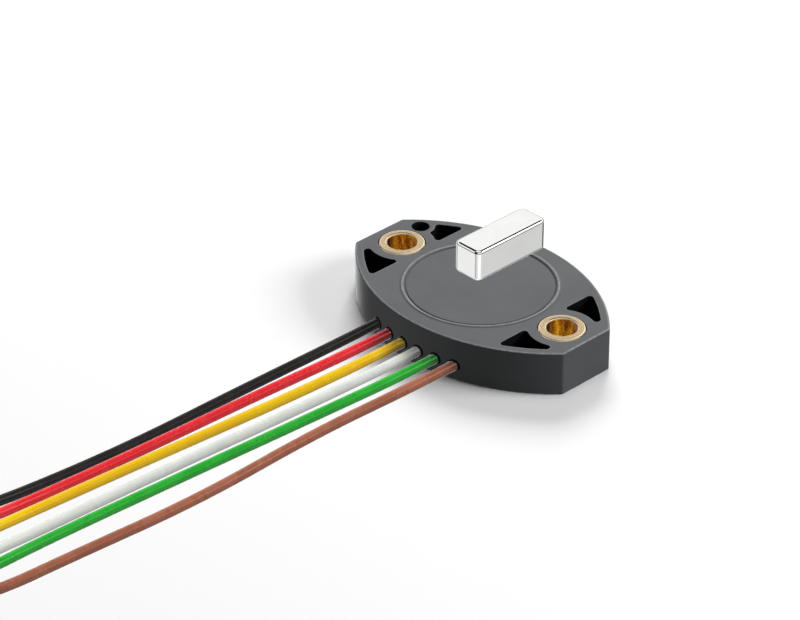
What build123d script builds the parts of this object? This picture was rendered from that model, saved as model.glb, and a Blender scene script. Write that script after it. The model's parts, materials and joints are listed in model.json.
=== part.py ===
from build123d import *

import math
import os

# A touchless linear position sensor. A flat moulded housing with two pressed-in brass
# bushings holds a potted circuit board with a magnetic sensor chip. Six single leads
# leave its front wall, and a separate bar magnet, the position marker, travels above it.
#
# Frame, in millimetres: the origin is midway between the two mounting holes, on the
# mounting face. +X runs along the line of the holes, the leads leave towards -Y, and
# +Z points away from the mounting face.

# Housing
HOUSING_LENGTH = 41.6
HOUSING_WIDTH = 27.8
HOUSING_HEIGHT = 6.7
SIDE_ARC_RADIUS = 28.0
CORNER_RADIUS = 0.6
TOP_EDGE = 0.2
FOOT_CHAMFER = 0.15
TOP_WALL = 1.2
SIDE_WALL = 1.6
CAVITY_CORNER_RADIUS = 1.0

# Mounting holes, their brass bushings and the hole for a locating pin
HOLE_SPACING = 32.0
BORE_RADIUS = 2.2
BUSHING_WALL = 1.1
BUSHING_PROUD = 0.15
BORE_CHAMFER = 0.2
ANCHOR_GROOVE_WIDTH = 1.6
ANCHOR_GROOVE_DEPTH = 0.35
PIN_HOLE_RADIUS = 1.18
PIN_HOLE_OUTWARD = 1.4
PIN_HOLE_REARWARD = 5.1

# Moulding pockets round the bushings
BUSHING_BOSS_WALL = 1.6
PIN_BOSS_WALL = 1.0
POCKET_RIM = 1.3
POCKET_FLOOR = 1.2
POCKET_INWARD = 3.25
POCKET_OUTWARD = 2.3
POCKET_CORNER_RADIUS = 0.5
POCKET_RIB = 1.25

# Raised ring on the top face, with a fine groove just inside it
RING_RADIUS = 11.0
RING_WIDTH = 0.5
RING_HEIGHT = 0.16
RING_SLOPE = 0.12
GROOVE_WIDTH = 0.26
GROOVE_DEPTH = 0.15

# Circuit board, hung from pads under the roof and held by two pegs
BOARD_THICKNESS = 0.8
BOARD_DEPTH = 1.3
BOARD_CLEARANCE = 0.3
FRONT_SPACE = 3.7
PAD_SIZE = 2.0
PAD_INSET = 1.6
PAD_MARGIN = 2.4
PEG_RADIUS = 0.55
PEG_CLEARANCE = 0.05
PEG_STAND = 0.3

# Magnetic sensor chip
CHIP_LENGTH = 5.0
CHIP_WIDTH = 4.4
CHIP_HEIGHT = 0.85
CHIP_STANDOFF = 0.1
CHIP_LEADS_PER_SIDE = 8
CHIP_LEAD_PITCH = 0.65
CHIP_LEAD_WIDTH = 0.24
CHIP_LEAD_THICKNESS = 0.13
CHIP_LEAD_REACH = 1.0
CHIP_FOOT_LENGTH = 0.55

# Ceramic capacitors and resistors: length, width, height
SUPPLY_CAPACITOR = (2.0, 1.25, 0.9)
OUTPUT_CAPACITOR = (1.6, 0.8, 0.8)
SERIES_RESISTOR = (1.6, 0.8, 0.45)
TERMINAL_LENGTH = 0.35
SUPPLY_CAPACITOR_PLACES = [(-5.2, 0.0), (5.2, 0.0)]
OUTPUT_CAPACITOR_PLACES = [(-5.0, 3.4), (5.0, 3.4), (-5.0, -3.4), (5.0, -3.4)]
SERIES_RESISTOR_PLACES = [(-1.6, 5.6), (1.6, 5.6)]

# Leads: order from -X to +X, and how they enter the housing
LEAD_COLOURS = ["black", "red", "yellow", "white", "green", "brown"]
LEAD_RADIUS = 0.7
LEAD_PITCH = 3.05
LEAD_HEIGHT = 2.4
LEAD_STRAIGHT_END = -19.0
LEAD_SIDES = 12
CONDUCTOR_RADIUS = 0.3
STRIPPED_LENGTH = 2.0
SOLDER_MARGIN = 1.6
SOLDER_TOP_RADIUS = 0.35
SOLDER_PAD_RADIUS = 0.75
SOLDER_HEIGHT = 0.45

# Seals that close the lead holes in the front wall
SEAL_WALL = 0.36
SEAL_LIP = 0.38
SEAL_EDGE = 0.2
POTTING_RECESS = 0.2

# Coil of the leads' far ends: one flat spiral layer for each lead, bound by two ties
COIL_X = -13.8
COIL_Y = -110.0
COIL_ENTRY_RADIUS = 11.8
COIL_PITCH = 1.45
COIL_TURNS = 3.3
COIL_BASE = 0.55
CURL_RADIUS = 4.2
CURL_ANGLE = 73.0
TIP_LENGTH = 5.0
TIE_WIDTH = 2.5
TIE_THICKNESS = 0.5
TIE_CLEARANCE = 0.05
TIE_HEAD = 2.2

# Position marker: a bar magnet that travels along Y above the housing
MAGNET_WIDTH = 5.0
MAGNET_LENGTH = 13.8
MAGNET_HEIGHT = 4.8
MAGNET_CORNER_RADIUS = 0.8
MAGNET_EDGE_BEVEL = 0.3
MAGNET_GAP = 2.65
MAGNET_REST_Y = 3.9

# Routes of the leads from where they stop running straight to the coil. Each lead comes
# down to the surface that the housing stands on, runs along it, and climbs to its own
# layer of the coil, the brown one lowest and the black one highest.
LEAD_ROUTES = {
    "black": [
        (-9.05, -37.0, 1.6), (-10.6, -58.0, 0.75), (-12.1, -78.0, 0.9), (-10.6, -87.5, 4.1),
        (-6.0, -95.0, 7.4), (-2.0, -101.5, 8.5), (-2.0, -105.9, 8.5),
    ],
    "red": [
        (-6.65, -37.0, 1.6), (-8.4, -58.0, 0.75), (-9.9, -78.5, 0.8), (-8.5, -87.5, 3.2),
        (-5.0, -95.0, 6.0), (-2.0, -101.5, 7.05), (-2.0, -105.9, 7.05),
    ],
    "yellow": [
        (-3.4, -37.0, 1.6), (-6.2, -58.0, 0.75), (-7.8, -79.0, 0.75), (-6.6, -88.0, 2.3),
        (-4.0, -95.0, 4.6), (-2.0, -101.5, 5.6), (-2.0, -105.9, 5.6),
    ],
    "white": [
        (-0.3, -37.0, 1.6), (-2.65, -58.0, 0.75), (-3.65, -79.0, 0.75), (-3.6, -88.5, 1.5),
        (-2.9, -95.0, 3.2), (-2.0, -101.5, 4.15), (-2.0, -105.9, 4.15),
    ],
    "green": [
        (2.4, -37.0, 1.6), (0.0, -58.0, 0.75), (-1.35, -79.0, 0.75), (-1.35, -88.5, 0.9),
        (-1.6, -95.0, 1.85), (-2.0, -101.5, 2.7), (-2.0, -105.9, 2.7),
    ],
    "brown": [
        (5.85, -37.0, 1.6), (4.55, -58.0, 0.75), (3.4, -79.0, 0.75), (3.2, -88.5, 0.7),
        (1.5, -95.0, 0.85), (-2.0, -101.5, 1.25), (-2.0, -105.9, 1.25),
    ],
}

# Sizes that follow from the ones above
HOLE_X = HOLE_SPACING / 2
SIDE_ARC_CENTRE = SIDE_ARC_RADIUS - HOUSING_WIDTH / 2
BUSHING_RADIUS = BORE_RADIUS + BUSHING_WALL
BUSHING_LENGTH = HOUSING_HEIGHT + BUSHING_PROUD
ROOF = HOUSING_HEIGHT - TOP_WALL
CAVITY_HALF_LENGTH = HOLE_X - POCKET_INWARD - POCKET_RIB
BOARD_TOP = ROOF - BOARD_DEPTH
BOARD_BOTTOM = BOARD_TOP - BOARD_THICKNESS
BOARD_FRONT = HOUSING_WIDTH / 2 - SIDE_WALL - FRONT_SPACE
PAD_X = CAVITY_HALF_LENGTH - PAD_INSET
PAD_Y = BOARD_FRONT - PAD_MARGIN
SOLDER_ROW = SOLDER_MARGIN - BOARD_FRONT
LEAD_INNER_END = SOLDER_ROW - STRIPPED_LENGTH
PIN_HOLE_X = -HOLE_X - PIN_HOLE_OUTWARD
SEAL_RADIUS = LEAD_RADIUS + SEAL_WALL
COIL_OUTER_RADIUS = COIL_ENTRY_RADIUS + LEAD_RADIUS
COIL_INNER_RADIUS = COIL_ENTRY_RADIUS - COIL_TURNS * COIL_PITCH - LEAD_RADIUS
COIL_TOP = COIL_BASE + len(LEAD_COLOURS) * COIL_PITCH


def wall_y(x, inset):
    """Distance from the X axis to the long side of the outline, moved inwards by inset."""
    return math.sqrt((SIDE_ARC_RADIUS - inset) ** 2 - x**2) - SIDE_ARC_CENTRE


def lens(inset, half_length):
    """Plan of the housing: two long side arcs, moved inwards by inset, and two flat ends."""
    front = Pos(0, SIDE_ARC_CENTRE) * Circle(SIDE_ARC_RADIUS - inset)
    rear = Pos(0, -SIDE_ARC_CENTRE) * Circle(SIDE_ARC_RADIUS - inset)
    return front & rear & Rectangle(2 * half_length, 2 * HOUSING_WIDTH)


def upright(radius, bottom, top, x=0.0, y=0.0):
    """A cylinder that stands on the XY plane's normal between two heights."""
    return Pos(x, y, (bottom + top) / 2) * Cylinder(radius, top - bottom)


def block(size, x, y, bottom):
    """A box of the given length, width and height on a base height."""
    return Pos(x, y, bottom + size[2] / 2) * Box(*size)


def turned(points, x=0.0, y=0.0):
    """A solid of revolution about Z from a closed profile of (radius, height) points."""
    profile = make_face(Polyline([(r, 0, z) for r, z in points], close=True))
    return Pos(x, y) * revolve(profile, Axis.Z)


def pocket(side_x, side_y):
    """One moulding pocket between a bushing's boss and the rim."""
    inner = HOLE_X - POCKET_INWARD
    outer = HOLE_X + POCKET_OUTWARD
    middle = side_x * (inner + outer) / 2
    window = Pos(middle, side_y * HOUSING_WIDTH / 2) * Rectangle(outer - inner, HOUSING_WIDTH)
    boss = Pos(side_x * HOLE_X, 0) * Circle(BUSHING_RADIUS + BUSHING_BOSS_WALL)
    plan = lens(POCKET_RIM, HOUSING_LENGTH / 2) & window
    plan -= boss
    if side_x < 0 < side_y:
        plan -= Pos(PIN_HOLE_X, PIN_HOLE_REARWARD) * Circle(PIN_HOLE_RADIUS + PIN_BOSS_WALL)
    plan = plan.faces().sort_by(SortBy.AREA)[-1]
    plan = fillet(plan.vertices(), POCKET_CORNER_RADIUS)
    return Pos(0, 0, POCKET_FLOOR) * extrude(plan, HOUSING_HEIGHT)


def bushing_blank(x):
    """Outside of a bushing, with the V groove that the moulding grips."""
    middle = HOUSING_HEIGHT / 2
    low = middle - ANCHOR_GROOVE_WIDTH / 2
    high = middle + ANCHOR_GROOVE_WIDTH / 2
    waist = BUSHING_RADIUS - ANCHOR_GROOVE_DEPTH
    return turned([(0, 0), (BUSHING_RADIUS, 0), (BUSHING_RADIUS, low), (waist, middle),
                   (BUSHING_RADIUS, high), (BUSHING_RADIUS, BUSHING_LENGTH),
                   (0, BUSHING_LENGTH)], x)


def bushing(x):
    """Brass bushing: a plain bore, chamfered at both ends, and an anchoring groove outside."""
    solid = bushing_blank(x)
    solid -= upright(BORE_RADIUS, 0, BUSHING_LENGTH, x)
    rims = solid.edges().filter_by(GeomType.CIRCLE).filter_by(
        lambda edge: abs(edge.radius - BORE_RADIUS) < BORE_CHAMFER
    )
    return chamfer(rims, BORE_CHAMFER)


def cavity(bottom, top):
    """Space for the board and the resin, between two heights."""
    plan = lens(SIDE_WALL, CAVITY_HALF_LENGTH)
    plan = fillet(plan.vertices(), CAVITY_CORNER_RADIUS)
    return Pos(0, 0, bottom) * extrude(plan, top - bottom)


def board_supports():
    """Four pads that the board lies against, two of them with a peg through the board."""
    supports = Part()
    pad = (PAD_SIZE, PAD_SIZE, ROOF - BOARD_TOP)
    for x in (-PAD_X, PAD_X):
        for y in (-PAD_Y, PAD_Y):
            supports += block(pad, x, y, BOARD_TOP)
    for x, y in peg_places():
        supports += upright(PEG_RADIUS, BOARD_BOTTOM - PEG_STAND, ROOF, x, y)
    return supports


def peg_places():
    """Opposite corners of the board."""
    return [(-PAD_X, PAD_Y), (PAD_X, -PAD_Y)]


def top_ring():
    """Section of the raised ring, as (radius, height) points."""
    outer = RING_RADIUS + RING_WIDTH / 2
    inner = RING_RADIUS - RING_WIDTH / 2
    top = HOUSING_HEIGHT + RING_HEIGHT
    root = HOUSING_HEIGHT - RING_HEIGHT
    return turned([(inner, root), (outer, root), (outer, HOUSING_HEIGHT),
                   (outer - RING_SLOPE, top), (inner + RING_SLOPE, top), (inner, HOUSING_HEIGHT)])


def top_groove():
    """Fine groove that follows the inside of the raised ring."""
    outer = RING_RADIUS - RING_WIDTH / 2
    inner = outer - GROOVE_WIDTH
    floor = HOUSING_HEIGHT - GROOVE_DEPTH
    above = HOUSING_HEIGHT + RING_HEIGHT
    return turned([(inner, floor), (outer, floor), (outer, above), (inner, above)])


def lead_x(index):
    """Place of a lead in the row of six."""
    return (index - (len(LEAD_COLOURS) - 1) / 2) * LEAD_PITCH


def seal_plug(x):
    """Solid that fills a lead's hole in the front wall and stands out of it, bevelled."""
    outer_end = -wall_y(x, 0) - SEAL_LIP
    length = LEAD_INNER_END - outer_end
    plug = Pos(x, LEAD_INNER_END - length / 2, LEAD_HEIGHT) * Rot(90, 0, 0) * Cylinder(
        SEAL_RADIUS, length)
    plug = chamfer(plug.edges().group_by(Axis.Y)[0], SEAL_EDGE)
    return plug - cavity(0, ROOF)


def lead_start(x):
    """Straight start of a lead, from its stripped end to the second point of its route."""
    length = LEAD_INNER_END - LEAD_STRAIGHT_END
    start = Plane((x, LEAD_INNER_END, LEAD_HEIGHT), z_dir=(0, -1, 0))
    return extrude(start * RegularPolygon(LEAD_RADIUS, LEAD_SIDES), length)


def seal(x):
    """Soft black collar between a lead and its hole in the wall, flush with the inside."""
    return seal_plug(x) - lead_start(x)


def housing():
    """Moulded housing, open below, with pockets, bushing seats, lead holes and supports."""
    plan = lens(0, HOUSING_LENGTH / 2)
    plan = fillet(plan.vertices(), CORNER_RADIUS)
    solid = extrude(plan, HOUSING_HEIGHT)
    solid = chamfer(solid.edges().group_by(Axis.Z)[-1], TOP_EDGE)
    solid = chamfer(solid.edges().group_by(Axis.Z)[0], FOOT_CHAMFER)
    solid += top_ring()
    solid -= top_groove()
    for side_x in (-1, 1):
        for side_y in (-1, 1):
            solid -= pocket(side_x, side_y)
        solid -= bushing_blank(side_x * HOLE_X)
    solid -= upright(PIN_HOLE_RADIUS, 0, HOUSING_HEIGHT, PIN_HOLE_X, PIN_HOLE_REARWARD)
    solid -= cavity(0, ROOF)
    solid += board_supports()
    for index in range(len(LEAD_COLOURS)):
        solid -= seal_plug(lead_x(index))
    return solid


def circuit_board(conductors):
    """Board that follows the cavity, straight in front, with holes for pegs and leads."""
    plan = lens(SIDE_WALL + BOARD_CLEARANCE, CAVITY_HALF_LENGTH - BOARD_CLEARANCE)
    plan -= Pos(0, -BOARD_FRONT - HOUSING_WIDTH / 2) * Rectangle(HOUSING_LENGTH, HOUSING_WIDTH)
    plan = fillet(plan.vertices(), CAVITY_CORNER_RADIUS)
    solid = Pos(0, 0, BOARD_BOTTOM) * extrude(plan, BOARD_THICKNESS)
    for x, y in peg_places():
        solid -= upright(PEG_RADIUS + PEG_CLEARANCE, BOARD_BOTTOM, BOARD_TOP, x, y)
    return solid - conductors


def chip():
    """Moulded body of the sensor chip, level with the middle of the ring."""
    size = (CHIP_LENGTH, CHIP_WIDTH, CHIP_HEIGHT)
    return chamfer(block(size, 0, 0, BOARD_TOP + CHIP_STANDOFF).edges().group_by(Axis.Z)[-1], 0.12)


def chip_lead(x, side):
    """One bent lead from the chip's side down to its foot on the board."""
    root = CHIP_WIDTH / 2
    heel = root + CHIP_LEAD_REACH - CHIP_FOOT_LENGTH
    toe = root + CHIP_LEAD_REACH
    foot = BOARD_TOP + CHIP_LEAD_THICKNESS
    arm = BOARD_TOP + CHIP_STANDOFF + CHIP_HEIGHT / 2
    outline = [(root, arm), (heel + CHIP_LEAD_THICKNESS, arm), (heel + CHIP_LEAD_THICKNESS, foot),
               (toe, foot), (toe, BOARD_TOP), (heel, BOARD_TOP),
               (heel, arm - CHIP_LEAD_THICKNESS), (root, arm - CHIP_LEAD_THICKNESS)]
    face = make_face(Polyline([(x, side * y, z) for y, z in outline], close=True))
    return extrude(face, CHIP_LEAD_WIDTH / 2, both=True)


def chip_leads():
    """Both rows of the chip's leads."""
    leads = []
    for side in (-1, 1):
        for index in range(CHIP_LEADS_PER_SIDE):
            x = (index - (CHIP_LEADS_PER_SIDE - 1) / 2) * CHIP_LEAD_PITCH
            leads.append(chip_lead(x, side))
    return leads


def component_bodies(size, places):
    """Ceramic bodies of like components, between their two terminals."""
    length, width, height = size
    body = (length - 2 * TERMINAL_LENGTH, width, height)
    return [block(body, x, y, BOARD_TOP) for x, y in places]


def component_terminals():
    """Metal ends of every capacitor and resistor."""
    terminals = []
    for size, places in COMPONENTS:
        length, width, height = size
        reach = (length - TERMINAL_LENGTH) / 2
        for x, y in places:
            for side in (-1, 1):
                end = (TERMINAL_LENGTH, width, height)
                terminals.append(block(end, x + side * reach, y, BOARD_TOP))
    return terminals


COMPONENTS = [
    (SUPPLY_CAPACITOR, SUPPLY_CAPACITOR_PLACES),
    (OUTPUT_CAPACITOR, OUTPUT_CAPACITOR_PLACES),
    (SERIES_RESISTOR, SERIES_RESISTOR_PLACES),
]


def conductor(x):
    """Stripped end of a lead, bent sharply up and trimmed level with the board's top."""
    path = Polyline((x, LEAD_INNER_END, LEAD_HEIGHT), (x, SOLDER_ROW, LEAD_HEIGHT),
                    (x, SOLDER_ROW, BOARD_TOP))
    section = Plane(path @ 0, z_dir=path % 0) * RegularPolygon(CONDUCTOR_RADIUS, LEAD_SIDES)
    return sweep(section, path, transition=Transition.RIGHT)


def solder_joint(x):
    """Solder that covers the conductor's end and rises from the board as a cone."""
    return Pos(x, SOLDER_ROW, BOARD_TOP + SOLDER_HEIGHT / 2) * Cone(
        SOLDER_PAD_RADIUS, SOLDER_TOP_RADIUS, SOLDER_HEIGHT)


def lead_path(colour):
    """Straight runs of the route joined by the largest arcs that they allow."""
    x = lead_x(LEAD_COLOURS.index(colour))
    straight = [(x, LEAD_INNER_END, LEAD_HEIGHT), (x, LEAD_STRAIGHT_END, LEAD_HEIGHT)]
    points = [Vector(*point) for point in straight + LEAD_ROUTES[colour]]
    radii = []
    for before, here, after in zip(points, points[1:], points[2:]):
        turn = math.radians((here - before).get_angle(after - here))
        shorter = min((here - before).length, (after - here).length)
        radii.append(0.45 * shorter / math.tan(turn / 2))
    print(colour, "lead radii", [round(radius, 1) for radius in radii])
    return FilletPolyline(*points, radius=radii)


def lead(colour):
    """Insulated lead from its stripped end in the housing to the coil."""
    path = lead_path(colour)
    section = Plane(path @ 0, z_dir=path % 0) * RegularPolygon(LEAD_RADIUS, LEAD_SIDES)
    tube = sweep(section, path)
    print(colour, "lead length", round(path.length, 1),
          "volume ratio", round(tube.volume / (section.area * path.length), 4))
    return tube


def layer_height(colour):
    """Height of the middle of a lead's layer in the coil, brown lowest."""
    layer = len(LEAD_COLOURS) - 1 - LEAD_COLOURS.index(colour)
    return COIL_BASE + LEAD_RADIUS + layer * COIL_PITCH


def lead_coil(colour):
    """Outer shape of one lead's spiral layer."""
    middle = layer_height(colour)
    ring = upright(COIL_OUTER_RADIUS, middle - LEAD_RADIUS, middle + LEAD_RADIUS, COIL_X, COIL_Y)
    return ring - upright(COIL_INNER_RADIUS, 0, COIL_TOP, COIL_X, COIL_Y)


def lead_tip(colour):
    """Tinned end of a lead, which curls out of the spiral into the middle of the coil."""
    end_radius = COIL_ENTRY_RADIUS - COIL_TURNS * COIL_PITCH
    heading = -360 * COIL_TURNS
    curl_end = Vector(CURL_RADIUS, 0).rotate(Axis.Z, heading - CURL_ANGLE)
    curl_centre = Vector(end_radius - CURL_RADIUS, 0).rotate(Axis.Z, heading)
    start = Vector(COIL_X, COIL_Y, layer_height(colour)) + curl_centre + curl_end
    forward = Vector(0, -1).rotate(Axis.Z, heading - CURL_ANGLE)
    section = Plane(start, z_dir=forward) * RegularPolygon(CONDUCTOR_RADIUS, LEAD_SIDES)
    return extrude(section, TIP_LENGTH)


def coil_tie(side):
    """Plastic tie round the six layers, with its head on the outside of the coil."""
    inner = COIL_INNER_RADIUS - (COIL_INNER_RADIUS - math.sqrt(
        COIL_INNER_RADIUS**2 - (TIE_WIDTH / 2) ** 2)) - TIE_CLEARANCE
    outer = COIL_OUTER_RADIUS + TIE_CLEARANCE
    low = COIL_BASE - TIE_CLEARANCE
    high = COIL_TOP + TIE_CLEARANCE
    middle = (inner + outer) / 2
    hole = (TIE_WIDTH, outer - inner, high - low)
    rim = (TIE_WIDTH, hole[1] + 2 * TIE_THICKNESS, hole[2] + 2 * TIE_THICKNESS)
    band = block(rim, 0, middle, low - TIE_THICKNESS)
    band = fillet(band.edges().filter_by(Axis.X), TIE_THICKNESS)
    band -= block(hole, 0, middle, low)
    head = (TIE_WIDTH + 1.0, TIE_HEAD / 2, TIE_HEAD)
    head_y = outer + TIE_THICKNESS + TIE_HEAD / 4
    band += block(head, 0, head_y, (low + high - TIE_HEAD) / 2)
    return Pos(COIL_X, COIL_Y) * Rot(0, 0, 90 - 90 * side) * band


def position_magnet():
    """Nickel-plated bar magnet with rounded corners, bevelled round its top and bottom."""
    size = (MAGNET_WIDTH, MAGNET_LENGTH, MAGNET_HEIGHT)
    solid = block(size, 0, MAGNET_REST_Y, HOUSING_HEIGHT + MAGNET_GAP)
    solid = fillet(solid.edges().filter_by(Axis.Z), MAGNET_CORNER_RADIUS)
    rims = solid.edges().group_by(Axis.Z)
    return chamfer(rims[0] + rims[-1], MAGNET_EDGE_BEVEL)


def potting(conductors):
    """Resin cast against the board's underside, round the pegs and the leads' ends."""
    solid = cavity(POTTING_RECESS, BOARD_BOTTOM) - board_supports()
    for index in range(len(LEAD_COLOURS)):
        solid -= lead_start(lead_x(index))
    return solid - conductors


def save(name, shape):
    """Write one node, a single solid or a group of separate ones."""
    if isinstance(shape, list):
        shape = Compound(children=shape)
    export_step(shape, f"parts/{name}.step")


def main():
    os.makedirs("parts", exist_ok=True)
    columns = [(colour, lead_x(index)) for index, colour in enumerate(LEAD_COLOURS)]
    conductors = [conductor(x) for _, x in columns]

    save("housing", housing())
    save("left_bushing", bushing(-HOLE_X))
    save("right_bushing", bushing(HOLE_X))
    save("circuit_board", circuit_board(conductors))
    save("sensor_chip", chip())
    save("chip_leads", chip_leads())
    save("supply_capacitors", component_bodies(SUPPLY_CAPACITOR, SUPPLY_CAPACITOR_PLACES))
    save("output_capacitors", component_bodies(OUTPUT_CAPACITOR, OUTPUT_CAPACITOR_PLACES))
    save("series_resistors", component_bodies(SERIES_RESISTOR, SERIES_RESISTOR_PLACES))
    save("component_terminals", component_terminals())
    save("solder_joints", [solder_joint(x) for _, x in columns])

    save("potting_compound", potting(conductors))

    for (colour, x), inner_end in zip(columns, conductors):
        save(f"{colour}_conductor", inner_end)
        save(f"{colour}_seal", seal(x))
        save(f"{colour}_lead", lead(colour))
        save(f"{colour}_lead_coil", lead_coil(colour))
        save(f"{colour}_lead_tip", lead_tip(colour))
    save("rear_coil_tie", coil_tie(1))
    save("front_coil_tie", coil_tie(-1))
    save("position_magnet", position_magnet())


main()
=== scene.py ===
import json
import math

import bmesh
import bpy
from mathutils import Matrix, Vector

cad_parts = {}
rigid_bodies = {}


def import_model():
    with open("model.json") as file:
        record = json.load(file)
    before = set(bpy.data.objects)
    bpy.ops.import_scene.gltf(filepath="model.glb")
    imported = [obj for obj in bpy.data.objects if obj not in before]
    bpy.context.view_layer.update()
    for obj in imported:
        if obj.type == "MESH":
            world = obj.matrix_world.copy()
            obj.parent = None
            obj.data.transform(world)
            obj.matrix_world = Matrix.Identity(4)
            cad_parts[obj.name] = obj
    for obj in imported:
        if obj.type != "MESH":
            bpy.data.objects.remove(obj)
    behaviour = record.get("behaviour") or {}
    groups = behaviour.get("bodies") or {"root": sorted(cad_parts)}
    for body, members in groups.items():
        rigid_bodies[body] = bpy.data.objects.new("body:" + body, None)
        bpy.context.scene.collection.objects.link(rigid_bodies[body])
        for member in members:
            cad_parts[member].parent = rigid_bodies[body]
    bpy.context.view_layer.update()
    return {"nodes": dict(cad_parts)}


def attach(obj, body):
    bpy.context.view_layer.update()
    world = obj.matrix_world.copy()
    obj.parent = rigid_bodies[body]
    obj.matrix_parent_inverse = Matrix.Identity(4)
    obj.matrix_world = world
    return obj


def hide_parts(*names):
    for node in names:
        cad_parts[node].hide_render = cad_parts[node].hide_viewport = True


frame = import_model()

# Camera: a long lens that looks down on the sensor over its right front corner. Its place
# and angle were worked out from the mounting holes and the housing's outline.
CAMERA_AZIMUTH = math.radians(46.04)
CAMERA_ELEVATION = math.radians(32.17)
CAMERA_PLACE = (0.30489, -0.30985, 0.27576)
CAMERA_LENS = 162.34

lens = bpy.data.cameras.new("camera")
lens.lens = CAMERA_LENS
lens.clip_start = 0.01
camera = bpy.data.objects.new("camera", lens)
camera.location = CAMERA_PLACE
camera.rotation_euler = (math.pi / 2 - CAMERA_ELEVATION, 0, CAMERA_AZIMUTH)
bpy.context.scene.collection.objects.link(camera)
bpy.context.scene.camera = camera
bpy.context.scene.view_settings.view_transform = "Standard"


# Leads: six single stranded leads, 1.5 mm over their extruded PVC insulation. They run out
# level, come down to the bench, and their unseen length is wound up in one flat spiral
# layer for each lead, the brown one lowest, each ending in a short curl.
LEAD_DIAMETER = 0.0015
COIL_CENTRE = Vector((-0.0138, -0.11))
COIL_ENTRY_RADIUS = 0.0118
COIL_PITCH = 0.00145
COIL_TURNS = 3.3
COIL_POINTS_PER_TURN = 24
CURL_RADIUS = 0.0042
CURL_ANGLE = math.radians(73)
CURL_POINTS = 6
MM = 0.001
LEAD_ROUTES = {
    "black": [
        (-0.007625, -0.009, 0.0024), (-0.007625, -0.019, 0.0024), (-0.00905, -0.037, 0.0016),
        (-0.0102, -0.058, 0.0008), (-0.0121, -0.078, 0.0009), (-0.0106, -0.0875, 0.0041),
        (-0.006, -0.095, 0.0074), (-0.002, -0.1015, 0.0085), (-0.002, -0.1059, 0.0085),
    ],
    "red": [
        (-0.004575, -0.009, 0.0024), (-0.004575, -0.019, 0.0024), (-0.00665, -0.037, 0.0016),
        (-0.0084, -0.058, 0.0008), (-0.0099, -0.0785, 0.0008), (-0.0085, -0.0875, 0.0032),
        (-0.005, -0.095, 0.006), (-0.002, -0.1015, 0.00705), (-0.002, -0.1059, 0.00705),
    ],
    "yellow": [
        (-0.001525, -0.009, 0.0024), (-0.001525, -0.019, 0.0024), (-0.0034, -0.037, 0.0016),
        (-0.0062, -0.058, 0.0008), (-0.0078, -0.079, 0.0008), (-0.0066, -0.088, 0.0023),
        (-0.004, -0.095, 0.0046), (-0.002, -0.1015, 0.0056), (-0.002, -0.1059, 0.0056),
    ],
    "white": [
        (0.001525, -0.009, 0.0024), (0.001525, -0.019, 0.0024), (-0.0003, -0.037, 0.0016),
        (-0.00265, -0.058, 0.0008), (-0.00365, -0.079, 0.0008), (-0.0036, -0.0885, 0.0015),
        (-0.0029, -0.095, 0.0032), (-0.002, -0.1015, 0.00415), (-0.002, -0.1059, 0.00415),
    ],
    "green": [
        (0.004575, -0.009, 0.0024), (0.004575, -0.019, 0.0024), (0.0024, -0.037, 0.0016),
        (0.0, -0.058, 0.0008), (-0.00135, -0.079, 0.0008), (-0.00135, -0.0885, 0.0009),
        (-0.0016, -0.095, 0.00185), (-0.002, -0.1015, 0.0027), (-0.002, -0.1059, 0.0027),
    ],
    "brown": [
        (0.007625, -0.009, 0.0024), (0.007625, -0.019, 0.0024), (0.0056, -0.037, 0.0015),
        (0.0056, -0.058, 0.0008), (0.0038, -0.079, 0.0008), (0.0032, -0.0885, 0.0008),
        (0.0015, -0.095, 0.00085), (-0.002, -0.1015, 0.00125), (-0.002, -0.1059, 0.00125),
    ],
}
INSULATION_TONES = {
    "black": ((32, 29, 28), (46, 42, 41)),
    "red": ((238, 22, 36), (250, 52, 60)),
    "yellow": ((255, 198, 0), (255, 212, 0)),
    "white": ((230, 234, 225), (245, 247, 240)),
    "green": ((14, 166, 30), (44, 194, 56)),
    "brown": ((158, 90, 62), (184, 114, 86)),
}
INSULATION_SHEEN = {"black": 0.2}
USUAL_SHEEN = 0.5


def tone(red, green, blue):
    """A colour given in the 0 to 255 steps of a screen, in the linear values of a shader."""
    linear = []
    for step in (red, green, blue):
        share = step / 255
        linear.append(share / 12.92 if share <= 0.04045 else ((share + 0.055) / 1.055) ** 2.4)
    return (*linear, 1.0)


def shader_group(name, inputs, outputs):
    """An empty shader node group with named sockets, and its two end nodes."""
    group = bpy.data.node_groups.new(name, "ShaderNodeTree")
    for socket, kind in inputs:
        group.interface.new_socket(name=socket, in_out="INPUT", socket_type="NodeSocket" + kind)
    for socket, kind in outputs:
        group.interface.new_socket(name=socket, in_out="OUTPUT", socket_type="NodeSocket" + kind)
    return group, group.nodes.new("NodeGroupInput"), group.nodes.new("NodeGroupOutput")


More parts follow.
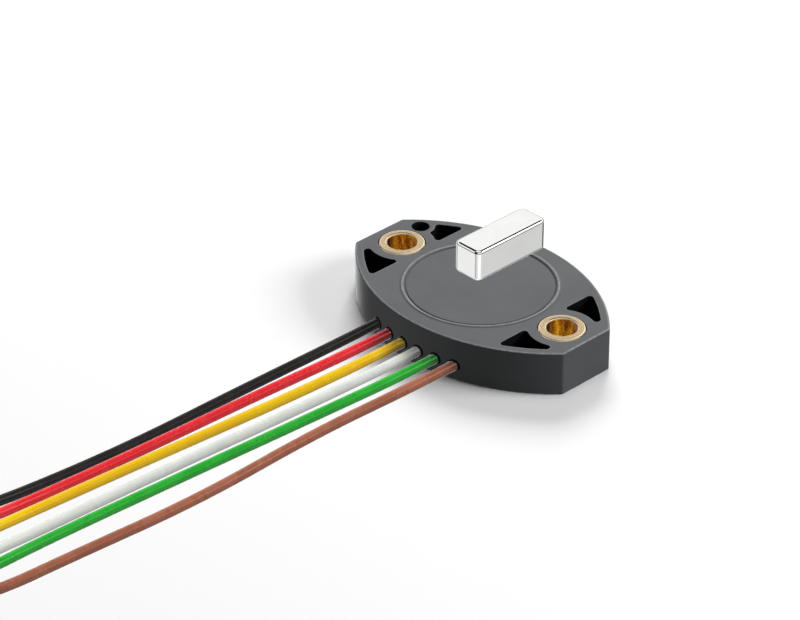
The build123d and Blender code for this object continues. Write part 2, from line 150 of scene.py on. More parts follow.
def painted_rim_highlight():
    """Group for the painted highlight on moulded rims: a lighter colour mixed in by a mask
    that is full on the rims and broken up by a fine noise."""
    group, given, made = shader_group(
        "painted_rim_highlight",
        [("Vector", "Vector"), ("Rim", "Float"), ("Colour", "Color"), ("Highlight", "Color")],
        [("Colour", "Color")])
    node, wire = group.nodes.new, group.links.new
    broken = node("ShaderNodeTexNoise")
    broken.inputs["Scale"].default_value = 1400
    broken.inputs["Detail"].default_value = 3
    wire(given.outputs["Vector"], broken.inputs["Vector"])
    spread = node("ShaderNodeMapRange")
    spread.inputs["From Min"].default_value = 0.3
    spread.inputs["From Max"].default_value = 0.6
    spread.inputs["To Min"].default_value = 0.45
    wire(broken.outputs["Fac"], spread.inputs["Value"])
    share = node("ShaderNodeMath")
    share.operation = "MULTIPLY"
    wire(spread.outputs["Result"], share.inputs[0])
    wire(given.outputs["Rim"], share.inputs[1])
    colour = node("ShaderNodeMix")
    colour.data_type = "RGBA"
    wire(share.outputs["Value"], colour.inputs["Factor"])
    wire(given.outputs["Colour"], colour.inputs["A"])
    wire(given.outputs["Highlight"], colour.inputs["B"])
    wire(colour.outputs["Result"], made.inputs["Colour"])
    return group


def mottled_grain():
    """Group for every moulded, cast or extruded surface: slow patches of two tones and of
    gloss, and a fine grain that lifts the surface."""
    group, given, made = shader_group(
        "mottled_grain",
        [("Vector", "Vector"), ("Dark", "Color"), ("Light", "Color"), ("Patches", "Float"),
         ("Grain", "Float"), ("Lift", "Float"), ("Smoothest", "Float"), ("Roughest", "Float")],
        [("Colour", "Color"), ("Roughness", "Float"), ("Normal", "Vector")])
    node, wire = group.nodes.new, group.links.new
    patches = node("ShaderNodeTexNoise")
    patches.inputs["Detail"].default_value = 3
    wire(given.outputs["Vector"], patches.inputs["Vector"])
    wire(given.outputs["Patches"], patches.inputs["Scale"])
    spread = node("ShaderNodeMapRange")
    spread.inputs["From Min"].default_value = 0.3
    spread.inputs["From Max"].default_value = 0.7
    wire(patches.outputs["Fac"], spread.inputs["Value"])
    grain = node("ShaderNodeTexNoise")
    grain.inputs["Detail"].default_value = 2
    wire(given.outputs["Vector"], grain.inputs["Vector"])
    wire(given.outputs["Grain"], grain.inputs["Scale"])
    blend = node("ShaderNodeMix")
    blend.inputs["Factor"].default_value = 0.35
    wire(spread.outputs["Result"], blend.inputs["A"])
    wire(grain.outputs["Fac"], blend.inputs["B"])
    colour = node("ShaderNodeMix")
    colour.data_type = "RGBA"
    wire(blend.outputs["Result"], colour.inputs["Factor"])
    wire(given.outputs["Dark"], colour.inputs["A"])
    wire(given.outputs["Light"], colour.inputs["B"])
    wire(colour.outputs["Result"], made.inputs["Colour"])
    gloss = node("ShaderNodeMix")
    wire(blend.outputs["Result"], gloss.inputs["Factor"])
    wire(given.outputs["Smoothest"], gloss.inputs["A"])
    wire(given.outputs["Roughest"], gloss.inputs["B"])
    wire(gloss.outputs["Result"], made.inputs["Roughness"])
    bump = node("ShaderNodeBump")
    bump.inputs["Distance"].default_value = 0.00005
    wire(grain.outputs["Fac"], bump.inputs["Height"])
    wire(given.outputs["Lift"], bump.inputs["Strength"])
    wire(bump.outputs["Normal"], made.inputs["Normal"])
    return group


MOTTLED_GRAIN = mottled_grain()


def surfaced(name, group, given, sockets, axis=(0.0, 0.0)):
    """Material whose colour, roughness and normal come from a node group, laid out from an
    upright axis at a plan place in mm. The other sockets of the shader are named with _ for
    a space."""
    material = bpy.data.materials.new(name)
    material.use_nodes = True
    tree = material.node_tree
    shader = tree.nodes["Principled BSDF"]
    for socket, value in sockets.items():
        shader.inputs[socket.replace("_", " ")].default_value = value
    surface = tree.nodes.new("ShaderNodeGroup")
    surface.node_tree = group
    for socket, value in given.items():
        surface.inputs[socket].default_value = value
    place = tree.nodes.new("ShaderNodeTexCoord")
    centred = tree.nodes.new("ShaderNodeMapping")
    centred.inputs["Location"].default_value = (-axis[0] * MM, -axis[1] * MM, 0)
    tree.links.new(place.outputs["Object"], centred.inputs["Vector"])
    tree.links.new(centred.outputs["Vector"], surface.inputs["Vector"])
    tree.links.new(surface.outputs["Colour"], shader.inputs["Base Color"])
    tree.links.new(surface.outputs["Roughness"], shader.inputs["Roughness"])
    tree.links.new(surface.outputs["Normal"], shader.inputs["Normal"])
    return material


def finish_of(name, dark, light, patches, grain, lift, gloss, **sockets):
    """Material of two tones through the mottled grain. Patches and grain are in waves per
    metre, lift is the strength of the bump, and gloss the least and greatest roughness."""
    given = {"Dark": tone(*dark), "Light": tone(*light), "Patches": patches, "Grain": grain,
             "Lift": lift, "Smoothest": gloss[0], "Roughest": gloss[1]}
    return surfaced(name, MOTTLED_GRAIN, given, sockets)


def heading(angle):
    """Unit direction in plan at an angle from +X."""
    return Vector((math.cos(angle), math.sin(angle)))


def coil_and_curl(height):
    """Points of a lead's spiral layer, wound clockwise and inwards, and of its last curl."""
    steps = round(COIL_TURNS * COIL_POINTS_PER_TURN)
    points = []
    for step in range(steps + 1):
        turns = COIL_TURNS * step / steps
        radius = COIL_ENTRY_RADIUS - COIL_PITCH * turns
        points.append(COIL_CENTRE + radius * heading(-math.tau * turns))
    last = -math.tau * COIL_TURNS
    inner_radius = COIL_ENTRY_RADIUS - COIL_PITCH * COIL_TURNS
    curl_centre = COIL_CENTRE + (inner_radius - CURL_RADIUS) * heading(last)
    for step in range(1, CURL_POINTS + 1):
        turned = last - CURL_ANGLE * step / CURL_POINTS
        points.append(curl_centre + CURL_RADIUS * heading(turned))
    return [(point.x, point.y, height) for point in points]


leads = {}
for colour, route in LEAD_ROUTES.items():
    points = route + coil_and_curl(route[-1][2])
    drawn = bpy.data.curves.new(f"{colour}_insulation", "CURVE")
    drawn.dimensions = "3D"
    drawn.resolution_u = 10
    drawn.bevel_depth = LEAD_DIAMETER / 2
    drawn.bevel_resolution = 6
    drawn.use_fill_caps = True
    spline = drawn.splines.new("NURBS")
    spline.points.add(len(points) - 1)
    for control, point in zip(spline.points, points):
        control.co = (*point, 1.0)
    spline.order_u = 3
    spline.use_endpoint_u = True
    dark, light = INSULATION_TONES[colour]
    drawn.materials.append(finish_of(
        f"{colour}_pvc", dark, light, 260, 2600, 0.12, (0.22, 0.32),
        Specular_IOR_Level=INSULATION_SHEEN.get(colour, USUAL_SHEEN)))
    lead = bpy.data.objects.new(f"{colour}_insulation", drawn)
    bpy.context.scene.collection.objects.link(lead)
    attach(lead, "sensor")
    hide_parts(f"{colour}_lead", f"{colour}_lead_coil")
    lead.visible_shadow = False  # the photograph shows neither shadows nor tints of the leads
    lead.visible_diffuse = False
    leads[colour] = lead


# Tinned ends: the last 5 mm of each lead is stripped, its seven strands twisted together
# and dipped in solder, so that the lay of the strands still shows as slow grooves.
TIP_LENGTH = 5.0
TIP_RADIUS = 0.28
TIP_STRANDS = 7
TIP_GROOVE = 0.03
TIP_TWIST = math.radians(250)
TIP_RINGS = 36
TIP_SIDES = 56


def finished(name, drawn, materials, body, replaced):
    """Piece from a closed mesh drawn in millimetres: faces outwards, smooth, in metres, on
    its body, in place of the nodes that it stands for."""
    bmesh.ops.recalc_face_normals(drawn, faces=drawn.faces)
    bmesh.ops.scale(drawn, vec=(MM, MM, MM), verts=drawn.verts)
    for face in drawn.faces:
        face.smooth = True
    mesh = bpy.data.meshes.new(name)
    drawn.to_mesh(mesh)
    drawn.free()
    for material in materials:
        mesh.materials.append(material)
    piece = bpy.data.objects.new(name, mesh)
    bpy.context.scene.collection.objects.link(piece)
    weighted = piece.modifiers.new("weighted_normals", "WEIGHTED_NORMAL")
    weighted.weight = 100
    weighted.keep_sharp = True
    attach(piece, body)
    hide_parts(*replaced)
    return piece


tinned_strands = finish_of(
    "tinned_strands", (176, 176, 172), (214, 214, 210), 900, 7000, 0.2, (0.2, 0.38), Metallic=1.0)
tips = {}
for colour, route in LEAD_ROUTES.items():
    drawn = bmesh.new()
    section = bmesh.ops.create_circle(drawn, segments=TIP_SIDES, radius=TIP_RADIUS)
    for vert in section["verts"]:
        around = math.atan2(vert.co.y, vert.co.x)
        vert.co *= 1 - TIP_GROOVE * (1 + math.cos(TIP_STRANDS * around)) / 2 / TIP_RADIUS
    bmesh.ops.spin(drawn, geom=drawn.verts[:] + drawn.edges[:], cent=(0, 0, 0), axis=(0, 0, 1),
                   dvec=(0, 0, TIP_LENGTH / TIP_RINGS), angle=TIP_TWIST, steps=TIP_RINGS)
    bmesh.ops.holes_fill(drawn, edges=drawn.edges, sides=TIP_SIDES)
    last = -math.tau * COIL_TURNS - CURL_ANGLE
    start = Vector(coil_and_curl(route[-1][2])[-1]) / MM
    forward = Vector((math.sin(last), -math.cos(last), 0))
    turn = Vector((0, 0, 1)).rotation_difference(forward).to_matrix()
    bmesh.ops.rotate(drawn, cent=(0, 0, 0), matrix=turn, verts=drawn.verts)
    bmesh.ops.translate(drawn, vec=start, verts=drawn.verts)
    tips[colour] = finished(f"{colour}_tinned_end", drawn, [tinned_strands],
                            "sensor", [f"{colour}_lead_tip"])


# Housing: one moulding of glass-filled plastic, eye-shaped in plan with two flat ends. Four
# moulding pockets keep its walls even, a raised ring marks the sensing field, the cavity for
# the board is open below, and the holes for the leads are in its front wall.
HALF_LENGTH = 20.8
HALF_WIDTH = 13.9
HEIGHT = 6.7
SIDE_RADIUS = 28.0
SIDE_CENTRE = SIDE_RADIUS - HALF_WIDTH
SIDE_STEPS = 96
CORNER_RADIUS = 0.6
CORNER_STEPS = 5
TOP_ROUNDING = [(0.4, 0.0), (0.26, 0.0), (0.15, 0.02), (0.07, 0.07), (0.02, 0.15), (0.0, 0.26)]
FOOT_ROUNDING = [(0.0, 0.2), (0.03, 0.09), (0.09, 0.03), (0.18, 0.0)]
WALL = 1.6
ROOF = 5.5
CAVITY_HALF_LENGTH = 11.5
CAVITY_CORNER = 1.0
HOLE_X = 16.0
BUSHING_RADIUS = 3.3
PIN_HOLE = Vector((-17.4, 5.1))
PIN_HOLE_RADIUS = 1.18
HOLE_SECTION = [(0.3, 6.7), (0.2, 6.7), (0.15, 6.67), (0.05, 6.58), (0.0, 6.4), (0.0, 0.15),
                (0.12, 0.0)]
HOLE_STEPS = 96
HOLE_RIM = 0.13
HOLE_WALL = (0.3, 6.68)
RING_RADIUS = 11.12
RING_SECTION = [(0.5, 6.7), (0.4, 6.7), (0.3, 6.72), (0.2, 6.78), (0.12, 6.83), (0.0, 6.85),
                (-0.12, 6.83), (-0.22, 6.76), (-0.32, 6.66), (-0.38, 6.59), (-0.42, 6.55),
                (-0.47, 6.55), (-0.5, 6.59), (-0.52, 6.65), (-0.56, 6.69), (-0.62, 6.7),
                (-0.72, 6.7)]
RING_STEPS = 192
RING_BEAD = 6.81
RING_GROOVE = 6.55
# Strength of the painted highlight on the ring's bead, the pocket rims and the outer top edge.
BEAD_HIGHLIGHT = 0.5
POCKET_RIM_HIGHLIGHT = 0.2
TOP_EDGE_HIGHLIGHT = (0.3, 0.6)
POCKET_RIM_RADIUS = SIDE_RADIUS - 1.3
POCKET_INNER = HOLE_X - 3.25
POCKET_OUTER = HOLE_X + 2.3
POCKET_CORNER = 0.45
BUSHING_BOSS = BUSHING_RADIUS + 1.6
PIN_BOSS = PIN_HOLE_RADIUS + 1.0
POCKET_SECTION = [(-0.28, 6.7), (-0.16, 6.7), (-0.07, 6.68), (-0.02, 6.62), (0.0, 6.5),
                  (0.08, 1.5), (0.17, 1.27), (0.36, 1.2)]
LEAD_HEIGHT = 2.4
LEAD_COLUMNS = {"black": -7.625, "red": -4.575, "yellow": -1.525, "white": 1.525,
                "green": 4.575, "brown": 7.625}
SEAL_RADIUS = 0.94
PAD_PLACES = [(-9.9, 6.2), (9.9, -6.2), (9.9, 6.2), (-9.9, -6.2)]
PAD_SIZE = 2.0
PAD_LOW = 4.2
PEG_RADIUS = 0.55
PEG_TAPER = 0.08
PEG_LOW = 3.1
TOOL_OVERLAP = 0.2
LEAD_HOLE_DEPTH = 6
LEAD_HOLE_Y = -12.6
SHARP_ANGLE = math.radians(45)


def outline(drawn, arcs, height):
    """Closed ring of edges at one height: each arc is spun from its first point, and the
    next one starts where it ends, or straight across from there."""
    verts, far_end = [], None
    for centre, radius, first, sweep, steps in arcs:
        begin = drawn.verts.new((*(Vector(centre) + radius * heading(first)), height))
        spun = bmesh.ops.spin(drawn, geom=[begin], cent=(*centre, height), axis=(0, 0, 1),
                              angle=sweep, steps=steps)
        last = spun["geom_last"][0]
        if far_end and (far_end.co - begin.co).length > 0.001:
            drawn.edges.new((far_end, begin))
        verts.append(begin)
        far_end = last
    if (far_end.co - verts[0].co).length > 0.001:
        drawn.edges.new((far_end, verts[0]))
    loose = [vert for vert in drawn.verts if not vert.link_faces and not vert.tag]
    bmesh.ops.remove_doubles(drawn, verts=loose, dist=0.001)
    ring = [vert for vert in drawn.verts if not vert.link_faces and not vert.tag]
    for vert in ring:
        vert.tag = True
    return list({edge for vert in ring for edge in vert.link_edges})


def lens_arcs(inset, half_length, corner):
    """The plan of the housing moved inwards: two long arcs, flat ends, rounded corners."""
    reach = half_length - corner
    rise = math.sqrt((SIDE_RADIUS - inset - corner) ** 2 - reach**2)
    turn = math.atan2(rise, reach)
    arcs = []
    for side in (1, -1):
        start = 0 if side == 1 else math.pi
        corner_y = side * (rise - SIDE_CENTRE)
        arcs.append(((side * reach, corner_y), corner, start, turn, CORNER_STEPS))
        arcs.append(((0, -side * SIDE_CENTRE), SIDE_RADIUS - inset, start + turn,
                     math.pi - 2 * turn, SIDE_STEPS))
        arcs.append(((-side * reach, corner_y), corner, start + math.pi - turn, turn,
                     CORNER_STEPS))
    return arcs


def crossings(first, second):
    """Where two circles, or a circle and an upright line given by its x, cross in plan."""
    if isinstance(second, float):
        centre, radius = first
        rise = math.sqrt(radius**2 - (second - centre.x) ** 2)
        return [Vector((second, centre.y + rise)), Vector((second, centre.y - rise))]
    (centre, radius), (other, other_radius) = first, second
    apart = other - centre
    along = (radius**2 - other_radius**2 + apart.length_squared) / (2 * apart.length)
    across = math.sqrt(radius**2 - along**2)
    forward = apart.normalized()
    foot = centre + along * forward
    return [foot + across * forward.orthogonal(), foot - across * forward.orthogonal()]


def pocket_arcs(side_x, side_y, inset):
    """The plan of a pocket: a straight inner side, the rim's arc, a straight outer side or
    the pin hole's boss, and the bushing's boss, with rounded corners between them."""
    rim = (Vector((0, -side_y * SIDE_CENTRE)), POCKET_RIM_RADIUS, -1)
    boss = (Vector((side_x * HOLE_X, 0)), BUSHING_BOSS, 1)
    pin = (PIN_HOLE, PIN_BOSS, 1)
    inner = side_x * (POCKET_INNER + POCKET_CORNER)
    outer = side_x * (POCKET_OUTER - POCKET_CORNER)
    with_pin = side_x < 0 < side_y
    walls = [inner, rim, pin if with_pin else outer, boss]
    corners = []
    for wall, following in zip(walls, walls[1:] + walls[:1]):
        curved, other = (following, wall) if isinstance(wall, float) else (wall, following)
        circle = (curved[0], curved[1] + curved[2] * POCKET_CORNER)
        if not isinstance(other, float):
            other = (other[0], other[1] + other[2] * POCKET_CORNER)
        corners.append(max(crossings(circle, other), key=lambda point: side_y * point.y))
    arcs = []
    turned = -side_x * side_y
    for index, corner in enumerate(corners):
        wall, following = walls[index], walls[(index + 1) % len(walls)]
        facing = []
        for touched in (wall, following):
            if isinstance(touched, float):
                facing.append(0.0 if touched == outer and side_x > 0 or touched == inner and
                              side_x < 0 else math.pi)
            else:
                towards = (touched[0] - corner) * touched[2]
                facing.append(math.atan2(towards.y, towards.x))
        sweep = turned * ((turned * (facing[1] - facing[0])) % math.tau)
        arcs.append((corner, POCKET_CORNER - inset, facing[0], sweep, CORNER_STEPS))
        if not isinstance(following, float):
            centre, radius, sign = following
            begin = corner - centre
            end = corners[(index + 1) % len(corners)] - centre
            sweep = (math.atan2(end.y, end.x) - math.atan2(begin.y, begin.x) + math.pi)
            arcs.append((centre, radius + sign * inset, math.atan2(begin.y, begin.x),
                         sweep % math.tau - math.pi, 16))
    return arcs


def spun_section(drawn, centre, radius, section, steps):
    """A section of (distance out from radius, height) points, turned about an upright axis.
    Its edges at both ends are given back, so that flat faces can be filled up to them."""
    verts = [drawn.verts.new((centre[0] + radius + out, centre[1], height))
             for out, height in section]
    edges = [drawn.edges.new(pair) for pair in zip(verts, verts[1:])]
    bmesh.ops.spin(drawn, geom=verts + edges, cent=(*centre, 0), axis=(0, 0, 1),
                   angle=math.tau, steps=steps, use_merge=True)
    open_edges = [edge for edge in drawn.edges if edge.is_boundary and not edge.tag]
    ends = []
    for out, height in (section[0], section[-1]):
        ends.append([
            edge for edge in open_edges
            if all(abs(vert.co.z - height) < 0.0001 and
                   abs((vert.co.xy - Vector(centre)).length - radius - out) < 0.001
                   for vert in edge.verts)])
    for edge in ends[0] + ends[1]:
        edge.tag = True
        for vert in edge.verts:
            vert.tag = True
    return ends


def bridged(drawn, rings):
    """Skins the walls between rings of edges that follow each other."""
    for near, far in zip(rings, rings[1:]):
        bmesh.ops.bridge_loops(drawn, edges=near + far)


def painted_highlight(drawn, edges, share):
    """Marks how strong the painted highlight on a rim is, at the ends of its edges."""
    layer = drawn.verts.layers.float["painted_highlight"]
    for edge in edges:
        for vert in edge.verts:
            vert[layer] = share


drawn = bmesh.new()
drawn.verts.layers.float.new("painted_highlight")
outside = [outline(drawn, lens_arcs(inset, HALF_LENGTH - inset, CORNER_RADIUS - inset),
                   HEIGHT - down) for inset, down in TOP_ROUNDING]
outside += [outline(drawn, lens_arcs(inset, HALF_LENGTH - inset, CORNER_RADIUS - inset), up)
            for inset, up in FOOT_ROUNDING]
bridged(drawn, outside)
cavity_plan = lens_arcs(WALL, CAVITY_HALF_LENGTH, CAVITY_CORNER)
cavity = [outline(drawn, cavity_plan, height) for height in (0, ROOF)]
bridged(drawn, cavity)
bmesh.ops.triangle_fill(drawn, edges=cavity[1], use_beauty=True)
top_edges, foot_edges = list(outside[0]), outside[-1] + cavity[0]
holes = [(Vector((-HOLE_X, 0)), BUSHING_RADIUS), (Vector((HOLE_X, 0)), BUSHING_RADIUS),
         (PIN_HOLE, PIN_HOLE_RADIUS)]
for centre, radius in holes:
    upper, lower = spun_section(drawn, centre, radius, HOLE_SECTION, HOLE_STEPS)
    top_edges += upper
    foot_edges += lower
for side_x in (-1, 1):
    for side_y in (-1, 1):
        pocket = [outline(drawn, pocket_arcs(side_x, side_y, inset), height)
                  for inset, height in POCKET_SECTION]
        bridged(drawn, pocket[:3])
        # Painted highlight: a lighter grey along each pocket's rim.
        painted_highlight(drawn, pocket[1] + pocket[2], POCKET_RIM_HIGHLIGHT)
        solid_faces = set(drawn.faces)
        bridged(drawn, pocket[2:])
        bmesh.ops.triangle_fill(drawn, edges=pocket[-1], use_beauty=True)
        # Painted shade: the pocket's walls and floor take the near-black plastic.
        for face in set(drawn.faces) - solid_faces:
            face.material_index = 1
        top_edges += pocket[0]
# Painted highlight: a lighter grey line along the outer top edge and its rounding.
painted_highlight(drawn, outside[1], TOP_EDGE_HIGHLIGHT[0])
painted_highlight(drawn, outside[2] + outside[3], TOP_EDGE_HIGHLIGHT[1])
ring_out, ring_in = spun_section(drawn, (0, 0), RING_RADIUS, RING_SECTION, RING_STEPS)
# Painted highlight along the top of the ring's bead.
bead = [edge for edge in drawn.edges if min(vert.co.z for vert in edge.verts) > RING_BEAD]
painted_highlight(drawn, bead, BEAD_HIGHLIGHT)
bmesh.ops.triangle_fill(drawn, edges=ring_in, use_beauty=True)
bmesh.ops.triangle_fill(drawn, edges=top_edges + ring_out, use_beauty=True)
bmesh.ops.triangle_fill(drawn, edges=foot_edges, use_beauty=True)
# Painted shade: the ring's groove and the walls of the holes take the near-black plastic.
for face in drawn.faces:
    middle = face.calc_center_median()
    in_hole = any((middle.xy - centre).length < radius + HOLE_RIM for centre, radius in holes)
    in_groove = abs(middle.z - RING_GROOVE) < 0.001
    if in_groove or in_hole and HOLE_WALL[0] < middle.z < HOLE_WALL[1]:
        face.material_index = 1
moulded_plastic = finish_of(
    "glass_filled_plastic", (89, 91, 93), (101, 103, 105), 140, 9000, 0.12, (0.3, 0.42),
    Specular_IOR_Level=0.15)
# The rims marked above get a painted highlight, a lighter grey mixed into the plastic's colour.
tree = moulded_plastic.node_tree
rim = tree.nodes.new("ShaderNodeAttribute")
rim.attribute_name = "painted_highlight"
highlight_node = tree.nodes.new("ShaderNodeGroup")
highlight_node.node_tree = painted_rim_highlight()
highlight_node.inputs["Highlight"].default_value = tone(176, 178, 180)
surface = next(node for node in tree.nodes if node.bl_idname == "ShaderNodeGroup")
shader = tree.nodes["Principled BSDF"]
tree.links.new(rim.outputs["Fac"], highlight_node.inputs["Rim"])
tree.links.new(surface.outputs["Colour"], highlight_node.inputs["Colour"])
tree.links.new(surface.inputs["Vector"].links[0].from_socket, highlight_node.inputs["Vector"])
tree.links.new(highlight_node.outputs["Colour"], shader.inputs["Base Color"])
# Near-black plastic that paints the shade in the pockets, the ring's groove and the holes.
painted_shade_plastic = finish_of(
    "pocket_painted_shade", (19, 19, 19), (27, 27, 27), 300, 3500, 0.3, (0.6, 0.75),
    Specular_IOR_Level=0.0)
housing = finished("moulded_housing", drawn, [moulded_plastic, painted_shade_plastic],
                   "sensor", ["housing"])


def as_tool(name, drawn):
    """Throwaway piece in metres that is joined to another one or cut from it."""
    bmesh.ops.recalc_face_normals(drawn, faces=drawn.faces)
    bmesh.ops.scale(drawn, vec=(MM, MM, MM), verts=drawn.verts)
    mesh = bpy.data.meshes.new(name)
    drawn.to_mesh(mesh)
    drawn.free()
    tool = bpy.data.objects.new(name, mesh)
    bpy.context.scene.collection.objects.link(tool)
    return tool


def worked(piece, tool, operation):
    """Joins a tool to a piece or cuts it out, and clears the tool away."""
    step = piece.modifiers.new("step", "BOOLEAN")
    step.operation = operation
    step.solver = "EXACT"
    step.object = tool
    bpy.context.view_layer.objects.active = piece
    bpy.ops.object.modifier_move_to_index(modifier="step", index=0)
    bpy.ops.object.modifier_apply(modifier="step")
    bpy.data.objects.remove(tool)


drawn = bmesh.new()
for x in LEAD_COLUMNS.values():
    hole = bmesh.ops.create_cone(drawn, segments=48, radius1=SEAL_RADIUS, radius2=SEAL_RADIUS,
                                 depth=LEAD_HOLE_DEPTH, cap_ends=True)
    bmesh.ops.rotate(drawn, cent=(0, 0, 0), matrix=Matrix.Rotation(math.pi / 2, 3, "X"),
                     verts=hole["verts"])
    bmesh.ops.translate(drawn, vec=(x, LEAD_HOLE_Y, LEAD_HEIGHT), verts=hole["verts"])
worked(housing, as_tool("lead_holes", drawn), "DIFFERENCE")
drawn = bmesh.new()
for x, y in PAD_PLACES:
    pad = bmesh.ops.create_cube(drawn, size=1)["verts"]
    bmesh.ops.scale(drawn, vec=(PAD_SIZE, PAD_SIZE, ROOF + TOOL_OVERLAP - PAD_LOW), verts=pad)
    bmesh.ops.translate(drawn, vec=(x, y, (ROOF + TOOL_OVERLAP + PAD_LOW) / 2), verts=pad)
worked(housing, as_tool("board_pads", drawn), "UNION")
drawn = bmesh.new()
for x, y in PAD_PLACES[:2]:
    peg = bmesh.ops.create_cone(drawn, segments=32, radius1=PEG_RADIUS - PEG_TAPER,
                                radius2=PEG_RADIUS, depth=ROOF - PEG_LOW, cap_ends=True)["verts"]
    bmesh.ops.translate(drawn, vec=(x, y, (ROOF + PEG_LOW) / 2), verts=peg)
worked(housing, as_tool("board_pegs", drawn), "UNION")
housing.data.set_sharp_from_angle(angle=SHARP_ANGLE)


# Bushings: two free-turning brass sleeves, turned on a lathe, that the housing is moulded
# round. They stand a little proud of the top, and a V groove inside the plastic holds them.
BUSHING_SECTION = [
    (2.4, 0.0), (3.2, 0.0), (3.29, 0.09), (3.29, 2.6), (2.95, 3.35), (3.29, 4.1), (3.29, 6.7),
    (3.27, 6.78), (3.22, 6.83), (3.14, 6.85), (2.37, 6.85), (2.32, 6.83), (2.28, 6.78),
    (2.26, 6.7), (2.26, 0.2),
]
BUSHING_STEPS = 128
BUSHING_BORE = 2.26
BUSHING_FACE = (2.36, 3.13)
BUSHING_RIM = 6.705


def turning_marks():
    """Group for metal turned on a lathe: fine broken rings round the axis, in both tone and
    gloss."""
    group, given, made = shader_group(
        "turning_marks",
        [("Vector", "Vector"), ("Rings", "Float"), ("Dark", "Color"), ("Light", "Color"),
         ("Lift", "Float"), ("Smoothest", "Float"), ("Roughest", "Float")],
        [("Colour", "Color"), ("Roughness", "Float"), ("Normal", "Vector")])
    node, wire = group.nodes.new, group.links.new
    apart = node("ShaderNodeSeparateXYZ")
    wire(given.outputs["Vector"], apart.inputs["Vector"])
    flat = node("ShaderNodeCombineXYZ")
    wire(apart.outputs["X"], flat.inputs["X"])
    wire(apart.outputs["Y"], flat.inputs["Y"])
    out = node("ShaderNodeVectorMath")
    out.operation = "LENGTH"
    wire(flat.outputs["Vector"], out.inputs[0])
    broken = node("ShaderNodeMath")
    broken.operation = "MULTIPLY_ADD"
    broken.inputs[1].default_value = 0.4
    wire(apart.outputs["X"], broken.inputs[0])
    wire(apart.outputs["Z"], broken.inputs[2])
    place = node("ShaderNodeCombineXYZ")
    wire(out.outputs["Value"], place.inputs["X"])
    wire(broken.outputs["Value"], place.inputs["Y"])
    rings = node("ShaderNodeTexNoise")
    rings.noise_dimensions = "2D"
    rings.inputs["Detail"].default_value = 4
    wire(place.outputs["Vector"], rings.inputs["Vector"])
    wire(given.outputs["Rings"], rings.inputs["Scale"])
    spread = node("ShaderNodeMapRange")
    spread.inputs["From Min"].default_value = 0.3
    spread.inputs["From Max"].default_value = 0.7
    wire(rings.outputs["Fac"], spread.inputs["Value"])
    colour = node("ShaderNodeMix")
    colour.data_type = "RGBA"
    wire(spread.outputs["Result"], colour.inputs["Factor"])
    wire(given.outputs["Dark"], colour.inputs["A"])
    wire(given.outputs["Light"], colour.inputs["B"])
    wire(colour.outputs["Result"], made.inputs["Colour"])
    gloss = node("ShaderNodeMix")
    wire(spread.outputs["Result"], gloss.inputs["Factor"])
    wire(given.outputs["Smoothest"], gloss.inputs["A"])
    wire(given.outputs["Roughest"], gloss.inputs["B"])
    wire(gloss.outputs["Result"], made.inputs["Roughness"])
    bump = node("ShaderNodeBump")
    bump.inputs["Distance"].default_value = 0.00002
    wire(rings.outputs["Fac"], bump.inputs["Height"])
    wire(given.outputs["Lift"], bump.inputs["Strength"])
    wire(bump.outputs["Normal"], made.inputs["Normal"])
    return group


TURNING_MARKS = turning_marks()


def turned_metal(name, axis, dark, light, rings, lift, gloss):
    """Lathe-turned metal whose rings, in waves per metre, run round an upright axis."""
    given = {"Rings": rings, "Dark": tone(*dark), "Light": tone(*light), "Lift": lift,
             "Smoothest": gloss[0], "Roughest": gloss[1]}
    return surfaced(name, TURNING_MARKS, given, {"Metallic": 1.0}, axis)


def drawn_streaks():
    """Group for the wall of a reamed bore: streaks along the tool's way from tarnished to
    bright, and a fine grain across them."""
    group, given, made = shader_group(
        "drawn_streaks", [("Vector", "Vector"), ("Width", "Float"), ("Lift", "Float")],
        [("Colour", "Color"), ("Roughness", "Float"), ("Normal", "Vector")])
    node, wire = group.nodes.new, group.links.new
    stretched = node("ShaderNodeMapping")
    stretched.inputs["Scale"].default_value = (1, 1, 0.22)
    wire(given.outputs["Vector"], stretched.inputs["Vector"])
    streaks = node("ShaderNodeTexNoise")
    streaks.inputs["Detail"].default_value = 4
    streaks.inputs["Roughness"].default_value = 0.7
    wire(stretched.outputs["Vector"], streaks.inputs["Vector"])
    wire(given.outputs["Width"], streaks.inputs["Scale"])
    grain = node("ShaderNodeTexNoise")
    grain.inputs["Scale"].default_value = 7000
    wire(given.outputs["Vector"], grain.inputs["Vector"])
    blend = node("ShaderNodeMix")
    blend.inputs["Factor"].default_value = 0.35
    wire(streaks.outputs["Fac"], blend.inputs["A"])
    wire(grain.outputs["Fac"], blend.inputs["B"])
    tones = node("ShaderNodeValToRGB")
    tones.color_ramp.elements[0].position = 0.42
    tones.color_ramp.elements[0].color = tone(92, 34, 22)
    tones.color_ramp.elements[1].position = 0.69
    tones.color_ramp.elements[1].color = tone(240, 184, 40)
    tones.color_ramp.elements.new(0.53).color = tone(160, 98, 4)
    wire(blend.outputs["Result"], tones.inputs["Fac"])
    wire(tones.outputs["Color"], made.inputs["Colour"])
    gloss = node("ShaderNodeMapRange")
    gloss.inputs["To Min"].default_value = 0.2
    gloss.inputs["To Max"].default_value = 0.45
    wire(blend.outputs["Result"], gloss.inputs["Value"])
    wire(gloss.outputs["Result"], made.inputs["Roughness"])
    bump = node("ShaderNodeBump")
    bump.inputs["Distance"].default_value = 0.00003
    wire(blend.outputs["Result"], bump.inputs["Height"])
    wire(given.outputs["Lift"], bump.inputs["Strength"])
    wire(bump.outputs["Normal"], made.inputs["Normal"])
    return group


